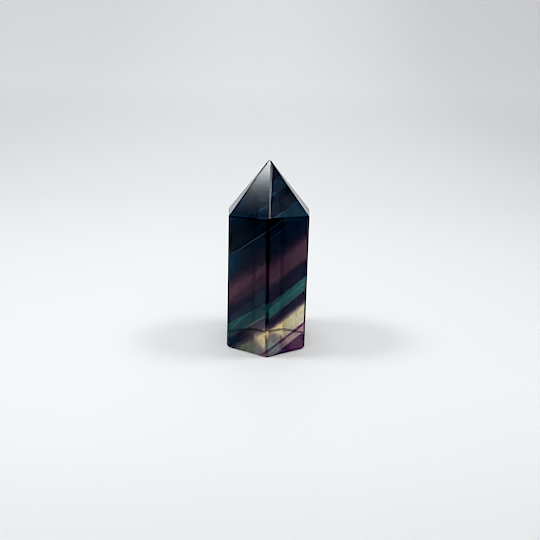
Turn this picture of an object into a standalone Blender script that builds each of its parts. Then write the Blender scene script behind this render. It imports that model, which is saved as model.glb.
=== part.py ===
"""Fluorite point: a six-sided tower, ground and polished from one piece of banded fluorite.

It stands on its ground foot, the +Z axis runs up through the tip, and -Y is the front, where the
edge between the two front faces looks at the viewer. The origin is the middle of the foot's box.

The stone is shaped the way a cutter shapes it. A rough block has one flat face ground after another:
six prism faces, six point facets, and a little nick where the tip is worn. Then every edge is broken
with a narrow flat strip, and two corners of the foot are nipped, one by a shell-shaped chip.
"""

import math

import bmesh
import bpy
from mathutils import Matrix, Vector

# Driving dimensions, in metres and degrees.
HEIGHT = 0.0600             # of the sharp tip, before it was worn
HALF_FLAT = 0.0128          # from the axis to a prism face, at the foot
POINT_SLOPE = 53.5          # of a point facet, from the horizontal
DRAFT = 0.9                 # how far a prism face leans in on its way up
SIDES = 6
FIRST_FACE = -150.0         # compass angle of the first face: 0 is the front, 90 the right

# What the grinding hand added to each prism face: turn, shift outwards and extra draft.
FACE_ERRORS = (
    (-0.3, 0.0000, 0.0),    # back left
    (3.4, 0.0002, -0.2),    # left
    (1.5, -0.0001, -0.1),   # front left
    (-0.2, 0.0000, 0.4),    # front right
    (-2.3, -0.0002, -0.9),  # right
    (0.0, 0.0000, 0.0),     # back right
)
# The same for each point facet: turn, extra slope, and how far above HEIGHT it meets the axis.
FACET_ERRORS = (
    (0.7, 1.4, 0.0000),
    (-1.3, 0.4, 0.0001),
    (-1.4, -1.4, -0.0003),
    (3.5, -0.2, 0.0004),
    (2.4, -0.5, -0.0001),
    (-0.3, 1.2, 0.0000),
)

# The worn place on the tip slopes down to the right.
NICK_TURN = 82.0
NICK_SLOPE = 33.0
NICK_DROP = 0.0003          # below HEIGHT, measured on the axis

# Widths of the flat strips that break the edges.
UPRIGHT_STRIP = 0.0011
RIDGE_STRIP = 0.0006
SHOULDER_STRIP = 0.0003
FOOT_STRIP = 0.0006

# The shell-shaped chip in the front left corner of the foot.
CHIP_RADIUS = 0.0017
CHIP_OUT = 0.0011           # how far the chip's centre lies outside the corner
CHIP_LIFT = 0.0004

# The flat nip on the front right corner of the foot.
NIP_DEPTH = 0.0006
NIP_RISE = -35.0            # the nip looks down by this much

ROUGH_WIDTH = 0.040
FLUORITE = (0.035, 0.085, 0.125, 1.0)


def compass(turn, rise=0.0):
    """The unit vector at a compass angle, raised from the horizontal, both in degrees."""
    a, t = math.radians(turn), math.radians(rise)
    return Vector((math.sin(a) * math.cos(t), -math.cos(a) * math.cos(t), math.sin(t)))


def heading(side):
    """The compass angle that a side would face if every side were ground true."""
    return FIRST_FACE + side * 360 / SIDES


def flat(point, outward):
    """A ground flat, as its outward direction and its distance from the origin."""
    return outward, outward.dot(point)


def prism_flats():
    flats = []
    for side, (turn, shift, draft) in enumerate(FACE_ERRORS):
        facing = heading(side) + turn
        flats.append(flat(compass(facing) * (HALF_FLAT + shift), compass(facing, DRAFT + draft)))
    return flats


def point_flats():
    flats = []
    for side, (turn, slope, rise) in enumerate(FACET_ERRORS):
        facing = compass(heading(side) + turn, 90 - POINT_SLOPE - slope)
        flats.append(flat(Vector((0, 0, HEIGHT + rise)), facing))
    return flats


def strip(one, other, width):
    """The flat that breaks the edge between two flats, leaving a strip of the given width."""
    (a, reach_a), (b, reach_b) = one, other
    depth = width / 2 * math.tan(a.angle(b) / 2)
    return (a + b).normalized(), (reach_a + reach_b) / (a + b).length - depth


def edge_strips(prism, point, foot):
    """Every edge's strip: the uprights, the ridges of the point, its shoulder and the foot."""
    strips = []
    for side in range(SIDES):
        strips.append(strip(prism[side - 1], prism[side], UPRIGHT_STRIP))
        strips.append(strip(point[side - 1], point[side], RIDGE_STRIP))
        strips.append(strip(prism[side], point[side], SHOULDER_STRIP))
        strips.append(strip(prism[side], foot, FOOT_STRIP))
    return strips


def grind(stone, ground):
    """Takes off what lies past a flat and closes the stone there with one face."""
    outward, reach = ground
    everything = stone.verts[:] + stone.edges[:] + stone.faces[:]
    cut = bmesh.ops.bisect_plane(
        stone, geom=everything, dist=1e-7, plane_co=outward * reach, plane_no=outward, clear_outer=True
    )
    rim = [e for e in cut["geom_cut"] if isinstance(e, bmesh.types.BMEdge)]
    if rim:
        bmesh.ops.contextual_create(stone, geom=rim)


def rough_block():
    """The sawn block that the stone is ground from, with its underside on the ground."""
    stone = bmesh.new()
    size = Matrix.Diagonal((ROUGH_WIDTH, ROUGH_WIDTH, 2 * HEIGHT, 1.0))
    bmesh.ops.create_cube(stone, size=1.0, matrix=Matrix.Translation((0, 0, HEIGHT)) @ size)
    return stone


def foot_corner(stone, turn):
    """The sharp corner of the foot that lies furthest towards a compass angle."""
    towards = compass(turn)
    return max((v.co.copy() for v in stone.verts if v.co.z < 1e-6), key=lambda p: p.dot(towards))


def polished_fluorite():
    material = bpy.data.materials.new("polished_fluorite")
    material.use_nodes = True
    shader = material.node_tree.nodes["Principled BSDF"]
    shader.inputs["Base Color"].default_value = FLUORITE
    shader.inputs["Metallic"].default_value = 0.0
    shader.inputs["Roughness"].default_value = 0.04
    return material


def placed(name, mesh, group):
    """A new object for a mesh, in a new collection."""
    made = bpy.data.objects.new(name, mesh)
    home = bpy.data.collections.new(group)
    bpy.context.scene.collection.children.link(home)
    home.objects.link(made)
    return made


def chip_ball(corner):
    """The ball that leaves a shell-shaped chip. Its centre lies off the corner."""
    ball = bmesh.new()
    bmesh.ops.create_icosphere(ball, subdivisions=3, radius=CHIP_RADIUS)
    mesh = bpy.data.meshes.new("chip_ball")
    ball.to_mesh(mesh)
    ball.free()
    cutter = placed("chip_ball", mesh, "cutters")
    cutter.location = corner + corner.normalized() * CHIP_OUT + Vector((0, 0, CHIP_LIFT))
    cutter.hide_render = True
    cutter.display_type = "WIRE"
    return cutter


def main():
    for old in list(bpy.data.objects):
        bpy.data.objects.remove(old)

    stone = rough_block()
    prism, point = prism_flats(), point_flats()
    foot = flat(Vector((0, 0, 0)), Vector((0, 0, -1)))
    for ground in prism + point:
        grind(stone, ground)
    left_corner, right_corner = foot_corner(stone, -60), foot_corner(stone, 60)

    nip = compass(60, NIP_RISE)
    grind(stone, flat(right_corner - nip * NIP_DEPTH, nip))
    grind(stone, flat(Vector((0, 0, HEIGHT - NICK_DROP)), compass(NICK_TURN, 90 - NICK_SLOPE)))
    for ground in edge_strips(prism, point, foot):
        grind(stone, ground)
    bmesh.ops.recalc_face_normals(stone, faces=stone.faces[:])

    # The foot's box is centred on the origin.
    xs, ys = [v.co.x for v in stone.verts], [v.co.y for v in stone.verts]
    middle = Vector(((min(xs) + max(xs)) / 2, (min(ys) + max(ys)) / 2, 0))
    bmesh.ops.translate(stone, verts=stone.verts[:], vec=-middle)

    mesh = bpy.data.meshes.new("fluorite_point")
    stone.to_mesh(mesh)
    stone.free()
    mesh.materials.append(polished_fluorite())
    tower = placed("fluorite_point", mesh, "fluorite_point")
    chip = tower.modifiers.new("chip", "BOOLEAN")
    chip.operation = "DIFFERENCE"
    chip.solver = "EXACT"
    chip.object = chip_ball(left_corner - middle)


main()
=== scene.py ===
"""A polished point of banded fluorite, standing on a white photo table between two soft lights."""

import math

import bmesh
import bpy
from mathutils import Matrix, Vector


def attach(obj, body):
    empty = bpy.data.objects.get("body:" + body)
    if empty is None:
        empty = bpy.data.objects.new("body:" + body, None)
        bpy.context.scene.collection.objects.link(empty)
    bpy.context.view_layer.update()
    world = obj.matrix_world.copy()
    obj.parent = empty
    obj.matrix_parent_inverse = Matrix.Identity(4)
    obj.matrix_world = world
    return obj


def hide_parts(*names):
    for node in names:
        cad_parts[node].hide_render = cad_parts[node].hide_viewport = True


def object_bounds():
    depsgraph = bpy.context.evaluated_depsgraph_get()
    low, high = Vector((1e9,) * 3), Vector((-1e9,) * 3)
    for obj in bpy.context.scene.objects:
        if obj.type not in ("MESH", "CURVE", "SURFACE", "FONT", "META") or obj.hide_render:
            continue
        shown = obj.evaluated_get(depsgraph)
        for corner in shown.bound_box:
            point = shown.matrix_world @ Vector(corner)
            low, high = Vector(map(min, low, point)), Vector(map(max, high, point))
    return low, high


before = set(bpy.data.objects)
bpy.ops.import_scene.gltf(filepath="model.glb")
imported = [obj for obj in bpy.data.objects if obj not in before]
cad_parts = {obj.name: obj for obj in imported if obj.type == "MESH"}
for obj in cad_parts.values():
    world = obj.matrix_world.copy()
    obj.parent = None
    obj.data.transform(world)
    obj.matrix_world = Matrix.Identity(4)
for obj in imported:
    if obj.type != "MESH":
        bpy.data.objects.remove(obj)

MM = 0.001
cad_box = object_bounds()

# The colour bands grew as flat layers. This is the way they face, in the stone's own frame.
GROWTH = Vector((-0.59, 0.18, 0.787)).normalized()

# One growth layer after another, from the foot's right corner to the tip: name, where it begins
# along GROWTH in mm, its tint where it meets the surface, and how much red, green and blue it
# takes out of each mm of light's way inside.
DEEP = (0.076, 0.076, 0.070)
LAYERS = (
    ("magenta_corner", -14.0, (0.30, 0.135, 0.34), (0.085, 0.115, 0.082)),
    ("clear_seam", -3.8, (0.98, 0.69, 0.74), (0.012, 0.016, 0.018)),
    ("purple_line", -1.85, (0.46, 0.25, 0.44), (0.060, 0.100, 0.060)),
    ("pale_honey", -1.2, (1.0, 0.93, 0.72), (0.0035, 0.0055, 0.0115)),
    ("honey", 1.6, (0.98, 0.87, 0.60), (0.004, 0.007, 0.015)),
    ("honey_edge", 3.8, (0.55, 0.44, 0.42), (0.020, 0.026, 0.026)),
    ("plum_edge", 4.5, (0.20, 0.145, 0.22), (0.060, 0.066, 0.060)),
    ("plum", 5.2, (0.052, 0.046, 0.11), DEEP),
    ("pale_line", 7.55, (0.15, 0.38, 0.37), (0.060, 0.050, 0.050)),
    ("green_border", 7.95, (0.095, 0.33, 0.31), (0.076, 0.066, 0.066)),
    ("sea_green", 9.1, (0.115, 0.42, 0.40), (0.076, 0.064, 0.064)),
    ("green", 10.2, (0.085, 0.33, 0.32), (0.076, 0.068, 0.068)),
    ("green_shade", 11.3, (0.055, 0.13, 0.17), DEEP),
    ("grape", 11.6, (0.042, 0.040, 0.10), DEEP),
    ("dark_line", 14.9, (0.038, 0.032, 0.080), DEEP),
    ("mauve_edge", 15.75, (0.11, 0.066, 0.12), DEEP),
    ("mauve", 16.3, (0.27, 0.118, 0.18), DEEP),
    ("soft_mauve", 18.6, (0.28, 0.116, 0.185), DEEP),
    ("dusk", 21.1, (0.13, 0.075, 0.13), DEEP),
    ("dusk_edge", 22.2, (0.050, 0.038, 0.075), DEEP),
    ("navy", 22.9, (0.020, 0.022, 0.048), DEEP),
    ("blue", 24.8, (0.020, 0.028, 0.060), DEEP),
    ("teal", 26.6, (0.014, 0.032, 0.074), DEEP),
    ("inky", 30.1, (0.007, 0.014, 0.023), DEEP),
    ("deep_blue", 35.6, (0.010, 0.026, 0.055), DEEP),
    ("blue_teal", 37.4, (0.008, 0.055, 0.14), DEEP),
    ("violet_tip", 40.5, (0.015, 0.020, 0.045), DEEP),
)
# The same layers on the six facets of the point, painted lighter there as light reaches them from above.
POINT_TINTS = (
    (-14.0, (0.34, 0.62, 0.86)),
    (31.9, (0.34, 0.38, 0.50)),
    (35.3, (0.25, 0.29, 0.38)),
    (37.5, (0.33, 0.53, 0.73)),
    (41.0, (0.29, 0.31, 0.43)),
    (43.6, (0.28, 0.30, 0.37)),
)
LEFT_POINT_TINT = (0.21, 0.30, 0.41)    # the left facets show no bands, only the blue below them, painted lighter like the other facets
LAST_LAYER_END = 50.0
# Hair cracks in the honey layer: thickness, and the path's points, all in mm.
CRACKS = (
    (0.045, ((8.1, -9.75, 14.4), (9.5, -8.95, 12.3), (10.6, -8.3, 10.9), (11.3, -7.9, 9.6))),
    (0.032, ((9.2, -9.1, 15.0), (9.9, -8.7, 13.7), (10.4, -8.4, 13.3))),
    (0.030, ((10.0, -8.6, 14.6), (10.5, -8.3, 13.4))),
    (0.030, ((5.0, -11.6, 10.0), (5.8, -11.1, 8.9), (6.1, -10.9, 8.1))),
    (0.028, ((-5.5, -10.9, 5.6), (-4.2, -11.5, 4.4), (-3.4, -11.9, 2.8))),
)
CLEAR = (0.003, 0.005, 0.010)   # what even the clearest fluorite here takes out, per mm
DEPTH_SLIP = 1.0                # mm the bands seem to slip sideways, since they are seen at a depth
SLIP_FROM = (5.0, 8.0)          # the foot is seen at the surface, so the slip fades in between these
SLIP_TO = (30.0, 17.0)          # and it fades out again towards the inky top
HEALED_LINE = (30.03, 0.15)     # where the pale healed crack lies along GROWTH, and half its width
HEALED_TINT, HEALED_SHARE = (0.34, 0.80, 1.0, 1.0), 0.33
# Painted glows, where the sides are painted brighter as if lit: middle and half width along GROWTH, from x,
# to x, all in mm, and the tint.
GLOWS = (
    (27.1, 2.3, -6.5, -13.5, (0.012, 0.19, 0.36, 1.0)),     # the blue layers, to the left
    (31.5, 3.0, 2.0, 11.0, (0.13, 0.15, 0.22, 1.0)),        # the inky layers, to the right, mostly behind
)
FACES_LEFT, FACES_FRONT = -0.1, -0.3    # a face looks left if the x of its normal is less, and so on
UNDERFOOT, ROUND_FOOT, ON_POINT = -0.9, -0.3, 0.4   # and by the z of its normal
GROUND = "ground"               # face attribute: 1 on chips and nicks, less on edge strips and foot
EDGE = "edge"                   # face attribute: 1 on the edge strips, whose tint is squared there as painted shade
FOOT_SHADE = "foot_shade"                 # face attribute: 1 on the strips round the foot, where painted shade darkens the tint
POINT = "point"                 # face attribute: 1 on the facets of the point
POLISH, GRIND = 0.04, 0.45      # roughness of the wide flats, and of the ground places
POLISH_BUMP = (0.5, 3.0, 0.005)     # their unevenness: grain in mm, detail, depth in mm
GRIND_BUMP = (0.2, 3.0, 0.0016)
CLEARNESS, BENDING = 0.93, 1.434    # share of light that the skin lets in, and fluorite's IOR
LAYER_LINES = (0.006, 0.006, 0.00035)   # size in metres of the fine lines along the layers
CLOUD_SCALE, GRAIN_CONTRAST = 450.0, 0.9
# How far the painted shade on the strips round the foot darkens them.
FOOT_SHADE_DEPTH = -0.9
SLAB_WIDTH = 0.1                # in metres, wider than the stone
HEART = (0.990, 0.990, 0.996)   # the layers fill this share of the stone
# The lamps: compass angle, height angle, and rings of half width in degrees and radiance.
LEFT_LAMP = (-88.2, 51.65, (
    (10.3, 0.35), (9.4, 0.6), (8.5, 1.3), (7.7, 2.6), (6.9, 4.5), (6.2, 5.5), (5.6, 6.5)
))
LEFT_LAMP_COLOUR = (0.90, 0.96, 1.0)
RIGHT_LAMP = (95.0, 56.0, ((9.0, 3.0), (8.0, 4.0), (7.0, 5.0)))
FRONT_LAMP = (0.0, 69.0, ((5.0, 4.0), (3.5, 5.0)))
TOP_LAMP = (180.0, 88.0, ((14.0, 1.9), (9.0, 2.2)))
LAMP_REACH, RING_GAP = 0.45, 0.006  # distance of a lamp, and of each further ring behind it
# How the table is graded, with painted shade in its grey and painted light in its glow: a place in metres,
# and the grey there.
TABLE_SHADE_ACROSS = (
    (-0.45, 0.95), (-0.2, 0.94), (-0.05, 1.0), (0.02, 1.0), (0.1, 0.96), (0.2, 0.87), (0.45, 0.83)
)
TABLE_SHADE_AWAY = (
    (-0.12, 0.88), (-0.09, 0.93), (-0.064, 0.975), (-0.03, 1.0), (0.04, 0.99), (0.166, 0.95),
    (0.41, 0.95), (0.6, 0.98), (1.0, 1.0)
)
# Painted glow on the backdrop, given as emission that grows with the distance behind the stone.
TABLE_GLOW = ((0.04, 0.0), (0.166, 0.02), (0.41, 0.13), (0.6, 0.20), (0.95, 0.195))
# A painted pool of light round and under the foot, given as emission by the distance from the stone's
# middle.
FOOT_LIGHT = ((0.0, 0.50), (0.0108, 0.46), (0.0124, 0.05), (0.019, 0.0))
TABLE_WHITE, FOOT_LIGHT_COLOUR = (0.95, 0.96, 0.965, 1.0), (1.0, 0.88, 0.84, 1.0)
# The photo's viewpoint.
AIM, REACH = (1.004, -0.076, 23.867), 240.109       # in mm
PITCH, ROLL = 21.278, 1.25                          # in degrees
BLACK_LEVEL, SHARPENING = (0.0288, 0.0288, 0.0286), 0.22


def add(tree, kind, **settings):
    """A new node, with its settings; an input is set by its name, with spaces as underscores."""
    node = tree.nodes.new(kind)
    for name, value in settings.items():
        if hasattr(node, name):
            setattr(node, name, value)
        else:
            node.inputs[name.replace("_", " ")].default_value = value
    return node


def link(tree, out, into):
    tree.links.new(out, into)


def take_out(per_mm):
    """The density and colour of a Volume Absorption that takes this much out of each mm."""
    most = max(per_mm)
    return most / MM, tuple(1 - a / most for a in per_mm) + (1.0,)


def absorb(tree, per_mm):
    """Fills a material with a Volume Absorption."""
    volume = add(tree, "ShaderNodeVolumeAbsorption")
    volume.inputs["Density"].default_value, volume.inputs["Color"].default_value = take_out(per_mm)
    link(tree, volume.outputs["Volume"], tree.nodes["Material Output"].inputs["Volume"])


def layers():
    """Name, lower end, upper end and absorption of each growth layer."""
    ends = [row[1] for row in LAYERS[1:]] + [LAST_LAYER_END]
    return [(name, start, end, out) for (name, start, _, out), end in zip(LAYERS, ends)]


def fade(tree, value, start, end, **settings):
    """0 at the start and 1 at the end, both in metres, with a slope between them."""
    slope = add(tree, "ShaderNodeMapRange", From_Min=start, From_Max=end, **settings)
    link(tree, value, slope.inputs["Value"])
    return slope.outputs["Result"]


def ramp(tree, rows, value):
    """A colour ramp with one hard stop for each row's start in mm along GROWTH."""
    low, high = rows[0][0], LAST_LAYER_END
    colours = add(tree, "ShaderNodeValToRGB")
    colours.color_ramp.interpolation = "CONSTANT"
    stops = colours.color_ramp.elements
    for n, (start, tint) in enumerate(rows):
        at = (start - low) / (high - low)
        stop = stops[0] if n == 0 else stops[1] if n == 1 else stops.new(at)
        stop.position = at
        stop.color = tint + (1.0,)
    link(tree, fade(tree, value, low * MM, high * MM), colours.inputs["Fac"])
    return colours.outputs["Color"]


def face_value(tree, name):
    return add(tree, "ShaderNodeAttribute", attribute_name=name).outputs["Fac"]


def mix_colour(tree, share, one, other, blend="MIX"):
    """Two colours mixed; each is a socket or a plain colour."""
    mixed = add(tree, "ShaderNodeMix", data_type="RGBA", blend_type=blend)
    for value, into in ((share, mixed.inputs[0]), (one, mixed.inputs[6]), (other, mixed.inputs[7])):
        if isinstance(value, (float, tuple)):
            into.default_value = value
        else:
            link(tree, value, into)
    return mixed.outputs[2]


def maths(tree, operation, one, other, third=None):
    """One sum; each value is a socket or a plain number."""
    node = add(tree, "ShaderNodeMath", operation=operation)
    for value, into in zip((one, other, third), node.inputs):
        if isinstance(value, float):
            into.default_value = value
        elif value is not None:
            link(tree, value, into)
    return node.outputs[0]


def dot(tree, vector, direction):
    node = add(tree, "ShaderNodeVectorMath", operation="DOT_PRODUCT")
    node.inputs[1].default_value = direction
    link(tree, vector, node.inputs[0])
    return node.outputs["Value"]


def growth_grain(tree, place):
    """Faint fine lines along the layers, and cloudy patches, as a grey that multiplies the tint."""
    lie = add(tree, "ShaderNodeMapping", vector_type="TEXTURE")
    lie.inputs["Rotation"].default_value = Vector((0, 0, 1)).rotation_difference(GROWTH).to_euler()
    lie.inputs["Scale"].default_value = LAYER_LINES
    link(tree, place, lie.inputs["Vector"])
    lines = add(tree, "ShaderNodeTexNoise", Scale=1.0, Detail=2.0)
    link(tree, lie.outputs[0], lines.inputs["Vector"])
    clouds = add(tree, "ShaderNodeTexNoise", Scale=CLOUD_SCALE, Detail=3.0)
    link(tree, place, clouds.inputs["Vector"])
    both = maths(tree, "ADD", lines.outputs["Fac"], clouds.outputs["Fac"])
    return maths(tree, "MULTIPLY_ADD", both, GRAIN_CONTRAST, 1 - GRAIN_CONTRAST)


def band_colour(tree):
    """The surface tint: the colours of the growth layers, read along GROWTH, with painted glows on the
    sides, the point's facets painted lighter, and painted shade on the edge strips and round the foot.
    """
    place = add(tree, "ShaderNodeTexCoord")
    along = dot(tree, place.outputs["Object"], GROWTH)
    slip = dot(tree, place.outputs["Normal"], Vector((DEPTH_SLIP * MM, 0, 0)))
    for start, end in (SLIP_FROM, SLIP_TO):
        slip = maths(tree, "MULTIPLY", slip, fade(tree, along, start * MM, end * MM))
    seen = maths(tree, "ADD", slip, along)
    sides = ramp(tree, [(row[1], row[2]) for row in LAYERS], seen)
    across = dot(tree, place.outputs["Object"], Vector((1, 0, 0)))
    # Painted glows: the sides painted brighter, as if lit, in some layers.
    for middle, half, start, end, lit in GLOWS:
        inside = maths(tree, "COMPARE", seen, middle * MM, half * MM)
        sideways = fade(tree, across, start * MM, end * MM, interpolation_type="SMOOTHSTEP")
        sides = mix_colour(tree, maths(tree, "MULTIPLY", inside, sideways), sides, lit)
    off_line = maths(tree, "ABSOLUTE", maths(tree, "SUBTRACT", along, HEALED_LINE[0] * MM), None)
    on_line = maths(tree, "LESS_THAN", off_line, HEALED_LINE[1] * MM)
    in_front = maths(tree, "LESS_THAN", dot(tree, place.outputs["Normal"], Vector((0, 1, 0))), FACES_FRONT)
    healed = maths(tree, "MULTIPLY", maths(tree, "MULTIPLY", on_line, in_front), HEALED_SHARE)
    sides = mix_colour(tree, healed, sides, HEALED_TINT)
    on_left = maths(tree, "LESS_THAN", dot(tree, place.outputs["Normal"], Vector((1, 0, 0))), FACES_LEFT)
    # The facets of the point take the point tints, painted lighter as if lit from above.
    point = mix_colour(tree, on_left, ramp(tree, POINT_TINTS, seen), LEFT_POINT_TINT + (1.0,))
    tint = mix_colour(tree, face_value(tree, POINT), sides, point)
    # Painted shade on the edge strips: their tint is squared.
    tint = mix_colour(tree, face_value(tree, EDGE), tint, tint, "MULTIPLY")
    # Painted shade on the strips round the foot.
    unshaded = maths(tree, "MULTIPLY_ADD", face_value(tree, FOOT_SHADE), FOOT_SHADE_DEPTH, 1.0)
    tone = maths(tree, "MULTIPLY", unshaded, growth_grain(tree, place.outputs["Object"]))
    shade = add(tree, "ShaderNodeCombineXYZ")
    for n in range(3):
        link(tree, tone, shade.inputs[n])
    return mix_colour(tree, 1.0, tint, shade.outputs[0], "MULTIPLY")


def height_noise(tree, place, grain, detail, depth):
    """A bumpy height in metres, from its grain and depth in mm."""
    noise = add(tree, "ShaderNodeTexNoise", Scale=1 / (grain * MM), Detail=detail)
    link(tree, place, noise.inputs["Vector"])
    return maths(tree, "MULTIPLY", noise.outputs["Fac"], depth * MM)


def between(tree, share, polished, ground):
    """A value that is one thing where the stone is polished and another where it is ground."""
    mixed = add(tree, "ShaderNodeMix", data_type="FLOAT")
    link(tree, share, mixed.inputs[0])
    for value, into in ((polished, mixed.inputs[2]), (ground, mixed.inputs[3])):
        if isinstance(value, float):
            into.default_value = value
        else:
            link(tree, value, into)
    return mixed.outputs[0]


def fluorite():
    """Clear fluorite, tinted by its bands: wide flats polished, edge strips and foot ground."""
    material = bpy.data.materials.new("banded_fluorite")
    material.use_nodes = True
    tree = material.node_tree
    skin = tree.nodes["Principled BSDF"]
    skin.inputs["Transmission Weight"].default_value = CLEARNESS
    skin.inputs["IOR"].default_value = BENDING
    link(tree, band_colour(tree), skin.inputs["Base Color"])
    ground = face_value(tree, GROUND)
    place = add(tree, "ShaderNodeTexCoord").outputs["Object"]
    link(tree, between(tree, ground, POLISH, GRIND), skin.inputs["Roughness"])
    height = between(
        tree, ground, height_noise(tree, place, *POLISH_BUMP), height_noise(tree, place, *GRIND_BUMP)
    )
    bump = add(tree, "ShaderNodeBump", Strength=1.0, Distance=1.0)
    link(tree, height, bump.inputs["Height"])
    link(tree, bump.outputs["Normal"], skin.inputs["Normal"])
    absorb(tree, CLEAR)
    return material


def layer_glow(name, out):
    """The inside of one growth layer: only what it takes out of the light."""
    material = bpy.data.materials.new(name)
    material.use_nodes = True
    tree = material.node_tree
    tree.nodes.remove(tree.nodes["Principled BSDF"])
    absorb(tree, tuple(max(a - c, 0.0005) for a, c in zip(out, CLEAR)))
    return material


def new_tree(name, inputs):
    """A Geometry Nodes tree with named inputs: (name, socket type, value)."""
    tree = bpy.data.node_groups.new(name, "GeometryNodeTree")
    tree.interface.new_socket("Geometry", in_out="INPUT", socket_type="NodeSocketGeometry")
    tree.interface.new_socket("Geometry", in_out="OUTPUT", socket_type="NodeSocketGeometry")
    for label, kind, value in inputs:
        socket = tree.interface.new_socket(label, in_out="INPUT", socket_type=kind)
        if value is not None:
            socket.default_value = value
    return tree, add(tree, "NodeGroupInput"), add(tree, "NodeGroupOutput")


def run_tree(name, start, tree, values):
    """Runs a tree on a mesh and keeps the result as a plain mesh object."""
    worker = bpy.data.objects.new(name + "_worker", start)
    bpy.context.scene.collection.objects.link(worker)
    modifier = worker.modifiers.new(tree.name, "NODES")
    modifier.node_group = tree
    for item in tree.interface.items_tree:
        if item.in_out == "INPUT" and item.name in values:
            modifier[item.identifier] = values[item.name]
    bpy.context.view_layer.update()
    shape = worker.evaluated_get(bpy.context.evaluated_depsgraph_get())
    mesh = bpy.data.meshes.new_from_object(shape)
    mesh.name = name
    bpy.data.objects.remove(worker)
    piece = bpy.data.objects.new(name, mesh)
    bpy.context.scene.collection.objects.link(piece)
    return piece


def tidy_mesh(piece):
    """Merges doubles and turns the faces outwards."""
    shape = bmesh.new()
    shape.from_mesh(piece.data)
    bmesh.ops.remove_doubles(shape, verts=shape.verts[:], dist=2e-6)
    bmesh.ops.recalc_face_normals(shape, faces=shape.faces[:])
    shape.to_mesh(piece.data)
    shape.free()


def whole_stone():
    """The stone of the frame as one mesh, its loose triangles merged back into flat faces."""
    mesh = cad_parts["fluorite_point"].data.copy()
    mesh.name = "whole_stone"
    mesh.materials.clear()
    shape = bmesh.new()
    shape.from_mesh(mesh)
    bmesh.ops.remove_doubles(shape, verts=shape.verts[:], dist=1e-6)
    bmesh.ops.dissolve_limit(
        shape, angle_limit=math.radians(0.2), verts=shape.verts[:], edges=shape.edges[:]
    )
    bmesh.ops.recalc_face_normals(shape, faces=shape.faces[:])
    for face in shape.faces:
        face.smooth = False
    shape.to_mesh(mesh)
    shape.free()
    for name in [a.name for a in mesh.attributes if a.name.startswith(("UV", "custom"))]:
        mesh.attributes.remove(mesh.attributes[name])
    return mesh


def store(tree, geometry, name, value):
    """Keeps a face value under a name."""
    mark = add(tree, "GeometryNodeStoreNamedAttribute", data_type="FLOAT", domain="FACE")
    mark.inputs["Name"].default_value = name
    link(tree, geometry, mark.inputs["Geometry"])
    link(tree, value, mark.inputs["Value"])
    return mark.outputs[0]


def finish_tree(tree, geometry, given, made):
    """Ends a tree: instances made real, and the material set."""
    real = add(tree, "GeometryNodeRealizeInstances")
    link(tree, geometry, real.inputs[0])
    paint = add(tree, "GeometryNodeSetMaterial")
    link(tree, real.outputs[0], paint.inputs["Geometry"])
    link(tree, given.outputs["Material"], paint.inputs["Material"])
    link(tree, paint.outputs[0], made.inputs[0])


def skin_tree(material):
    """Marks by size and lie the facets of the point, the ground places, and the edge strips and the strips
    round the foot, which take painted shade.
    """
    tree, given, made = new_tree("stone_skin", (
        ("Least Flat", "NodeSocketFloat", 70e-6),
        ("Largest Chip", "NodeSocketFloat", 3.5e-6),
        ("Least Dark Strip", "NodeSocketFloat", 6e-6),
        ("Strip Grind", "NodeSocketFloat", 0.3),
        ("Material", "NodeSocketMaterial", material),
    ))
    area = add(tree, "GeometryNodeInputMeshFaceArea").outputs[0]
    parts = add(tree, "ShaderNodeSeparateXYZ")
    link(tree, add(tree, "GeometryNodeInputNormal").outputs[0], parts.inputs[0])
    chip = maths(tree, "LESS_THAN", area, given.outputs["Largest Chip"])
    narrow = maths(tree, "LESS_THAN", area, given.outputs["Least Flat"])
    strip = maths(tree, "SUBTRACT", narrow, chip)
    foot = maths(tree, "LESS_THAN", parts.outputs["Z"], UNDERFOOT)
    facet = maths(tree, "GREATER_THAN", parts.outputs["Z"], ON_POINT)
    dull = maths(tree, "MULTIPLY", maths(tree, "ADD", strip, foot), given.outputs["Strip Grind"])
    shape = store(tree, given.outputs["Geometry"], GROUND, maths(tree, "ADD", chip, dull))
    wide = maths(tree, "GREATER_THAN", area, given.outputs["Least Dark Strip"])
    shape = store(tree, shape, EDGE, maths(tree, "MULTIPLY", strip, wide))
    shape = store(tree, shape, POINT, facet)
    # The strips round the foot, marked for painted shade.
    low = maths(tree, "LESS_THAN", parts.outputs["Z"], ROUND_FOOT)
    shape = store(tree, shape, FOOT_SHADE, maths(tree, "MULTIPLY", strip, low))
    finish_tree(tree, shape, given, made)
    return tree


def upward(tree, height):
    """A vector that points up by a height."""
    vector = add(tree, "ShaderNodeCombineXYZ")
    link(tree, height, vector.inputs["Z"])
    return vector.outputs[0]


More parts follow.
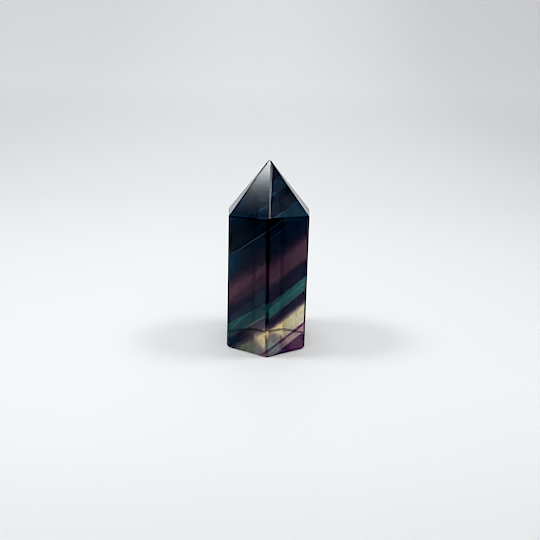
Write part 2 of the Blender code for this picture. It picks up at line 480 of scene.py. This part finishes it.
def layer_tree():
    """One growth layer: a slab across GROWTH, its faces a little wavy, cut to the stone."""
    tree, given, made = new_tree("growth_layer", (
        ("From", "NodeSocketFloat", 0.0),
        ("To", "NodeSocketFloat", 0.002),
        ("Gap", "NodeSocketFloat", 0.00001),
        ("Wave", "NodeSocketFloat", 0.0001),
        ("Wave Length", "NodeSocketFloat", 0.009),
        ("Seed", "NodeSocketFloat", 4.0),
        ("Turn", "NodeSocketRotation", None),
        ("Stone", "NodeSocketObject", None),
        ("Material", "NodeSocketMaterial", None),
    ))
    start, end = given.outputs["From"], given.outputs["To"]
    thick = maths(tree, "SUBTRACT", maths(tree, "SUBTRACT", end, start), given.outputs["Gap"])
    size = add(tree, "ShaderNodeCombineXYZ", X=SLAB_WIDTH, Y=SLAB_WIDTH)
    link(tree, thick, size.inputs["Z"])
    slab = add(tree, "GeometryNodeMeshCube", Vertices_X=40, Vertices_Y=40)
    link(tree, size.outputs[0], slab.inputs["Size"])
    middle = maths(tree, "MULTIPLY", maths(tree, "ADD", start, end), 0.5)
    lifted = add(tree, "GeometryNodeTransform")
    link(tree, slab.outputs["Mesh"], lifted.inputs["Geometry"])
    link(tree, upward(tree, middle), lifted.inputs["Translation"])
    noise = add(tree, "ShaderNodeTexNoise", noise_dimensions="4D")
    link(tree, add(tree, "GeometryNodeInputPosition").outputs[0], noise.inputs["Vector"])
    link(tree, maths(tree, "DIVIDE", 1.0, given.outputs["Wave Length"]), noise.inputs["Scale"])
    link(tree, given.outputs["Seed"], noise.inputs["W"])
    swing = maths(tree, "SUBTRACT", noise.outputs[0], 0.5)
    height = maths(tree, "MULTIPLY", swing, given.outputs["Wave"])
    waved = add(tree, "GeometryNodeSetPosition")
    link(tree, lifted.outputs[0], waved.inputs["Geometry"])
    link(tree, upward(tree, height), waved.inputs["Offset"])
    turned = add(tree, "GeometryNodeTransform")
    link(tree, waved.outputs[0], turned.inputs["Geometry"])
    link(tree, given.outputs["Turn"], turned.inputs["Rotation"])
    stone = add(tree, "GeometryNodeObjectInfo")
    link(tree, given.outputs["Stone"], stone.inputs["Object"])
    cut = add(tree, "GeometryNodeMeshBoolean", operation="INTERSECT", solver="EXACT")
    link(tree, turned.outputs[0], cut.inputs["Mesh 2"])
    link(tree, stone.outputs["Geometry"], cut.inputs["Mesh 2"])
    finish_tree(tree, cut.outputs["Mesh"], given, made)
    return tree


def grow_layers(stone_mesh):
    """The growth layers inside the stone, each a closed slab just under its skin."""
    heart = stone_mesh.copy()
    middle = Vector((0, 0, 0.5 * (cad_box[0].z + cad_box[1].z)))
    shrink = Matrix.Diagonal(HEART + (1.0,))
    heart.transform(Matrix.Translation(middle) @ shrink @ Matrix.Translation(-middle))
    mould = bpy.data.objects.new("layer_mould", heart)
    bpy.context.scene.collection.objects.link(mould)
    tree = layer_tree()
    turn = Vector((0, 0, 1)).rotation_difference(GROWTH).to_euler()
    made = []
    for name, start, end, out in layers():
        piece = run_tree("layer_" + name, bpy.data.meshes.new("start"), tree, {
            "From": start * MM, "To": end * MM, "Turn": turn, "Stone": mould,
            "Material": layer_glow(name, out),
        })
        if piece.data.polygons:
            tidy_mesh(piece)
            made.append(piece)
        else:
            bpy.data.objects.remove(piece)
    bpy.data.objects.remove(mould)
    return made


def matt(name, colour, roughness):
    """A plain dull stuff, a little uneven in colour."""
    material = bpy.data.materials.new(name)
    material.use_nodes = True
    tree = material.node_tree
    skin = tree.nodes["Principled BSDF"]
    skin.inputs["Roughness"].default_value = roughness
    place = add(tree, "ShaderNodeTexCoord").outputs["Object"]
    patches = add(tree, "ShaderNodeTexNoise", Scale=1500.0, Detail=2.0)
    link(tree, place, patches.inputs["Vector"])
    dim = tuple(0.6 * c for c in colour) + (1.0,)
    link(tree, mix_colour(tree, patches.outputs["Fac"], dim, colour + (1.0,)), skin.inputs["Base Color"])
    return material


def crack_tree():
    """A hair crack: a thin thread along a path, wandering a little."""
    tree, given, made = new_tree("hair_crack", (
        ("Thickness", "NodeSocketFloat", 0.00004),
        ("Step", "NodeSocketFloat", 0.0003),
        ("Wander", "NodeSocketFloat", 0.0005),
        ("Seed", "NodeSocketFloat", 0.0),
        ("Material", "NodeSocketMaterial", None),
    ))
    curve = add(tree, "GeometryNodeMeshToCurve")
    link(tree, given.outputs["Geometry"], curve.inputs["Mesh"])
    fine = add(tree, "GeometryNodeResampleCurve", mode="LENGTH")
    link(tree, curve.outputs[0], fine.inputs["Curve"])
    link(tree, given.outputs["Step"], fine.inputs["Length"])
    noise = add(tree, "ShaderNodeTexNoise", noise_dimensions="4D", Scale=700.0, Detail=3.0)
    link(tree, add(tree, "GeometryNodeInputPosition").outputs[0], noise.inputs["Vector"])
    link(tree, given.outputs["Seed"], noise.inputs["W"])
    centred = add(tree, "ShaderNodeVectorMath", operation="SUBTRACT")
    centred.inputs[1].default_value = (0.5, 0.5, 0.5)
    link(tree, noise.outputs["Color"], centred.inputs[0])
    shift = add(tree, "ShaderNodeVectorMath", operation="SCALE")
    link(tree, centred.outputs[0], shift.inputs[0])
    link(tree, given.outputs["Wander"], shift.inputs["Scale"])
    bent = add(tree, "GeometryNodeSetPosition")
    link(tree, fine.outputs[0], bent.inputs["Geometry"])
    link(tree, shift.outputs[0], bent.inputs["Offset"])
    ring = add(tree, "GeometryNodeCurvePrimitiveCircle", Resolution=6)
    link(tree, given.outputs["Thickness"], ring.inputs["Radius"])
    thread = add(tree, "GeometryNodeCurveToMesh")
    thread.inputs["Fill Caps"].default_value = True
    link(tree, bent.outputs[0], thread.inputs["Curve"])
    link(tree, ring.outputs["Curve"], thread.inputs["Profile Curve"])
    finish_tree(tree, thread.outputs[0], given, made)
    return tree


def fleck_tree():
    """Tiny flecks strewn under the skin between two heights along GROWTH, on faces of some sizes."""
    tree, given, made = new_tree("flecks", (
        ("From", "NodeSocketFloat", 0.0),
        ("To", "NodeSocketFloat", 0.005),
        ("Least Face", "NodeSocketFloat", 0.0),
        ("Largest Face", "NodeSocketFloat", 1.0),
        ("Per Area", "NodeSocketFloat", 100000.0),
        ("Size", "NodeSocketFloat", 0.0001),
        ("Stretch", "NodeSocketFloat", 2.0),
        ("Inset", "NodeSocketFloat", 0.0002),
        ("Seed", "NodeSocketInt", 1),
        ("Material", "NodeSocketMaterial", None),
    ))
    along = dot(tree, add(tree, "GeometryNodeInputPosition").outputs[0], GROWTH)
    area = add(tree, "GeometryNodeInputMeshFaceArea").outputs[0]
    fit = maths(tree, "MULTIPLY", maths(tree, "GREATER_THAN", area, given.outputs["Least Face"]),
                maths(tree, "LESS_THAN", area, given.outputs["Largest Face"]))
    strew = add(tree, "GeometryNodeDistributePointsOnFaces", distribute_method="RANDOM")
    link(tree, given.outputs["Geometry"], strew.inputs["Mesh"])
    link(tree, fit, strew.inputs["Selection"])
    link(tree, given.outputs["Per Area"], strew.inputs["Density"])
    link(tree, given.outputs["Seed"], strew.inputs["Seed"])
    outside = add(tree, "FunctionNodeBooleanMath", operation="OR")
    link(tree, maths(tree, "LESS_THAN", along, given.outputs["From"]), outside.inputs[0])
    link(tree, maths(tree, "GREATER_THAN", along, given.outputs["To"]), outside.inputs[1])
    kept = add(tree, "GeometryNodeDeleteGeometry", domain="POINT")
    link(tree, strew.outputs["Points"], kept.inputs["Geometry"])
    link(tree, outside.outputs[0], kept.inputs["Selection"])
    inward = add(tree, "ShaderNodeVectorMath", operation="SCALE")
    link(tree, strew.outputs["Normal"], inward.inputs[0])
    link(tree, maths(tree, "MULTIPLY", given.outputs["Inset"], -1.0), inward.inputs["Scale"])
    sunk = add(tree, "GeometryNodeSetPosition")
    link(tree, kept.outputs[0], sunk.inputs["Geometry"])
    link(tree, inward.outputs[0], sunk.inputs["Offset"])
    grit = add(tree, "GeometryNodeMeshIcoSphere", Subdivisions=1)
    link(tree, given.outputs["Size"], grit.inputs["Radius"])
    turn = add(tree, "FunctionNodeRandomValue", data_type="FLOAT_VECTOR")
    turn.inputs["Max"].default_value = (6.28, 6.28, 6.28)
    link(tree, given.outputs["Seed"], turn.inputs["Seed"])
    size = add(tree, "FunctionNodeRandomValue", data_type="FLOAT_VECTOR")
    size.inputs["Min"].default_value = (0.25, 0.25, 0.4)
    longest = add(tree, "ShaderNodeCombineXYZ", X=1.0, Y=0.8)
    link(tree, given.outputs["Stretch"], longest.inputs["Z"])
    link(tree, longest.outputs[0], size.inputs["Max"])
    strewn = add(tree, "GeometryNodeInstanceOnPoints")
    link(tree, sunk.outputs[0], strewn.inputs["Points"])
    link(tree, grit.outputs["Mesh"], strewn.inputs["Instance"])
    link(tree, turn.outputs[0], strewn.inputs["Rotation"])
    link(tree, size.outputs[0], strewn.inputs["Scale"])
    finish_tree(tree, strewn.outputs[0], given, made)
    return tree


def path_mesh(points):
    """A path through points given in mm, as a mesh of edges."""
    mesh = bpy.data.meshes.new("path")
    mesh.from_pydata([Vector(p) * MM for p in points], [(n, n + 1) for n in range(len(points) - 1)], [])
    return mesh


def flaws(stone_mesh):
    """The cracks, flecks and nicks of a natural stone that has stood on tables."""
    brown = matt("crack_brown", (0.20, 0.12, 0.09), 0.6)
    pale = matt("fleck_pale", (0.55, 0.60, 0.64), 0.5)
    made = []
    crack = crack_tree()
    for n, (thickness, points) in enumerate(CRACKS):
        made.append(run_tree(f"hair_crack_{n}", path_mesh(points), crack, {
            "Thickness": thickness * MM, "Seed": n * 3.7, "Material": brown,
        }))
    fleck = fleck_tree()
    made.append(run_tree("honey_flecks", stone_mesh.copy(), fleck, {
        "From": -1.0 * MM, "To": 4.2 * MM, "Least Face": 70e-6, "Per Area": 3.2e5, "Size": 0.11 * MM,
        "Stretch": 4.0, "Inset": 0.25 * MM, "Seed": 7, "Material": brown,
    }))
    made.append(run_tree("pale_flecks", stone_mesh.copy(), fleck, {
        "From": 5.0 * MM, "To": 44.0 * MM, "Least Face": 70e-6, "Per Area": 1.6e4, "Size": 0.09 * MM,
        "Stretch": 1.5, "Inset": 0.10 * MM, "Seed": 12, "Material": pale,
    }))
    made.append(run_tree("edge_nicks", stone_mesh.copy(), fleck, {
        "From": -20.0 * MM, "To": 60.0 * MM, "Least Face": 3.5e-6, "Largest Face": 70e-6, "Per Area": 1.0e5,
        "Size": 0.08 * MM, "Stretch": 1.8, "Inset": 0.03 * MM, "Seed": 5, "Material": pale,
    }))
    return made


def round_light(name, turn, rise, spread, radiance, reach):
    """A round soft light aimed at the stone, by its compass angle, height angle and half width."""
    radius = reach * math.tan(math.radians(spread))
    lamp = bpy.data.lights.new(name, "AREA")
    lamp.shape = "DISK"
    lamp.size = 2 * radius
    lamp.energy = radiance * math.pi * math.pi * radius ** 2
    light = bpy.data.objects.new(name, lamp)
    bpy.context.scene.collection.objects.link(light)
    a, e = math.radians(turn), math.radians(rise)
    away = Vector((math.sin(a) * math.cos(e), -math.cos(a) * math.cos(e), math.sin(e)))
    light.location = Vector((0, 0, 0.05)) + away * reach
    light.rotation_euler = away.to_track_quat("Z", "Y").to_euler()
    return light


def soft_lamp(name, turn, rise, rings):
    """A soft box that is brightest in the middle: round lights, one within the other."""
    return [
        round_light(f"{name}_{n}", turn, rise, spread, radiance, LAMP_REACH + RING_GAP * n)
        for n, (spread, radiance) in enumerate(rings)
    ]


def grey_steps(tree, value, steps):
    """A grey that changes smoothly with a value in metres, through (value, grey) steps."""
    low, high = steps[0][0], steps[-1][0]
    greys = add(tree, "ShaderNodeValToRGB")
    stops = greys.color_ramp.elements
    for n, (at, grey) in enumerate(steps):
        share_at = (at - low) / (high - low)
        stop = stops[0] if n == 0 else stops[1] if n == 1 else stops.new(share_at)
        stop.position = share_at
        stop.color = (grey, grey, grey, 1.0)
    link(tree, fade(tree, value, low, high), greys.inputs["Fac"])
    return greys.outputs["Color"]


def white_table():
    """The white floor, which sweeps up behind the stone into a backdrop: its grey holds painted shade
    across it and along it, and its emission is a painted glow on the backdrop and a painted pool of light
    round the foot.
    """
    front, reach, radius, top, half = -1.2, 0.55, 0.4, 1.6, 1.6
    profile = [(front, 0.0), (-0.3, 0.0), (0.0, 0.0), (reach, 0.0)]
    turns = 24
    for n in range(1, turns + 1):
        a = math.radians(90 * n / turns)
        profile.append((reach + radius * math.sin(a), radius * (1 - math.cos(a))))
    profile.append((reach + radius, top))
    floor_z = -0.0001
    shape = bmesh.new()
    rows = [[shape.verts.new((x, y, z + floor_z)) for x in (-half, 0.0, half)] for y, z in profile]
    for low, high in zip(rows, rows[1:]):
        for n in range(2):
            face = shape.faces.new((low[n], low[n + 1], high[n + 1], high[n]))
            face.smooth = True
    mesh = bpy.data.meshes.new("white_table")
    shape.to_mesh(mesh)
    shape.free()
    table = bpy.data.objects.new("white_table", mesh)
    bpy.context.scene.collection.objects.link(table)
    material = bpy.data.materials.new("white_table")
    material.use_nodes = True
    paint = material.node_tree.nodes["Principled BSDF"]
    tree = material.node_tree
    place = add(tree, "ShaderNodeTexCoord").outputs["Object"]
    sideways, behind = (dot(tree, place, Vector(way)) for way in ((1, 0, 0), (0, 1, 0)))
    # Painted shade: the white darkened across and along the table.
    across = grey_steps(tree, sideways, TABLE_SHADE_ACROSS)
    away = grey_steps(tree, behind, TABLE_SHADE_AWAY)
    white = mix_colour(tree, 1.0, TABLE_WHITE, across, "MULTIPLY")
    link(tree, mix_colour(tree, 1.0, white, away, "MULTIPLY"), paint.inputs["Base Color"])
    # Painted light: a glow on the backdrop, and a pool of light round the foot.
    lift = mix_colour(tree, 1.0, grey_steps(tree, behind, TABLE_GLOW), across, "MULTIPLY")
    near = add(tree, "ShaderNodeVectorMath", operation="LENGTH")
    link(tree, place, near.inputs[0])
    # The painted pool of light round the foot.
    pool = grey_steps(tree, near.outputs["Value"], FOOT_LIGHT)
    both = mix_colour(tree, 1.0, lift, mix_colour(tree, 1.0, pool, FOOT_LIGHT_COLOUR, "MULTIPLY"), "ADD")
    link(tree, both, paint.inputs["Emission Color"])
    paint.inputs["Emission Strength"].default_value = 1.0
    paint.inputs["Roughness"].default_value = 0.6
    paint.inputs["Specular IOR Level"].default_value = 0.2
    mesh.materials.append(material)
    return table


def camera():
    """The viewpoint of the photo: a little above, looking at the front edge."""
    lens = bpy.data.cameras.new("camera")
    lens.lens = 50.0
    lens.sensor_width = 36.0
    lens.clip_start, lens.clip_end = 0.01, 20.0
    eye = bpy.data.objects.new("camera", lens)
    bpy.context.scene.collection.objects.link(eye)
    aim, pitch, reach, roll = Vector(AIM) * MM, math.radians(PITCH), REACH * MM, math.radians(ROLL)
    away = Vector((0, -math.cos(pitch), math.sin(pitch)))
    look = away.to_track_quat("Z", "Y").to_matrix().to_4x4()
    eye.matrix_world = Matrix.Translation(aim + away * reach) @ look @ Matrix.Rotation(roll, 4, "Z")
    bpy.context.scene.camera = eye


def room_light():
    world = bpy.data.worlds.new("light_tent")
    world.use_nodes = True
    sky = world.node_tree.nodes["Background"]
    sky.inputs["Color"].default_value = (0.98, 0.985, 1.0, 1.0)
    sky.inputs["Strength"].default_value = 0.45
    bpy.context.scene.world = world


def develop():
    """How the picture is developed: plain sRGB, with the deepest shadows closed up."""
    scene = bpy.context.scene
    scene.view_settings.view_transform = "Standard"
    scene.view_settings.look = "None"
    scene.view_settings.use_curve_mapping = True
    scene.view_settings.curve_mapping.black_level = BLACK_LEVEL
    scene.view_settings.curve_mapping.update()
    scene.cycles.max_bounces = 24
    scene.cycles.transmission_bounces = 24
    scene.cycles.glossy_bounces = 12
    scene.cycles.use_denoising = True
    scene.use_nodes = True
    tree = scene.node_tree
    tree.nodes.clear()
    picture = tree.nodes.new("CompositorNodeRLayers")
    crisp = tree.nodes.new("CompositorNodeFilter")
    crisp.filter_type = "SHARPEN_DIAMOND"
    crisp.inputs["Fac"].default_value = SHARPENING
    finished = tree.nodes.new("CompositorNodeComposite")
    tree.links.new(picture.outputs["Image"], crisp.inputs["Image"])
    tree.links.new(crisp.outputs["Image"], finished.inputs["Image"])


def main():
    stone_mesh = whole_stone()
    inner = grow_layers(stone_mesh)
    stone = run_tree("polished_point", stone_mesh, skin_tree(fluorite()), {})
    tidy_mesh(stone)
    for piece in [stone] + inner + flaws(stone_mesh):
        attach(piece, "root")
    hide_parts("fluorite_point")

    table = white_table()
    lamps = soft_lamp("left_lamp", *LEFT_LAMP)
    for lamp in lamps:
        lamp.data.color = LEFT_LAMP_COLOUR
    lamps += soft_lamp("right_lamp", *RIGHT_LAMP)
    lamps += soft_lamp("front_lamp", *FRONT_LAMP)
    lamps += soft_lamp("top_lamp", *TOP_LAMP)
    camera()
    room_light()
    develop()


main()
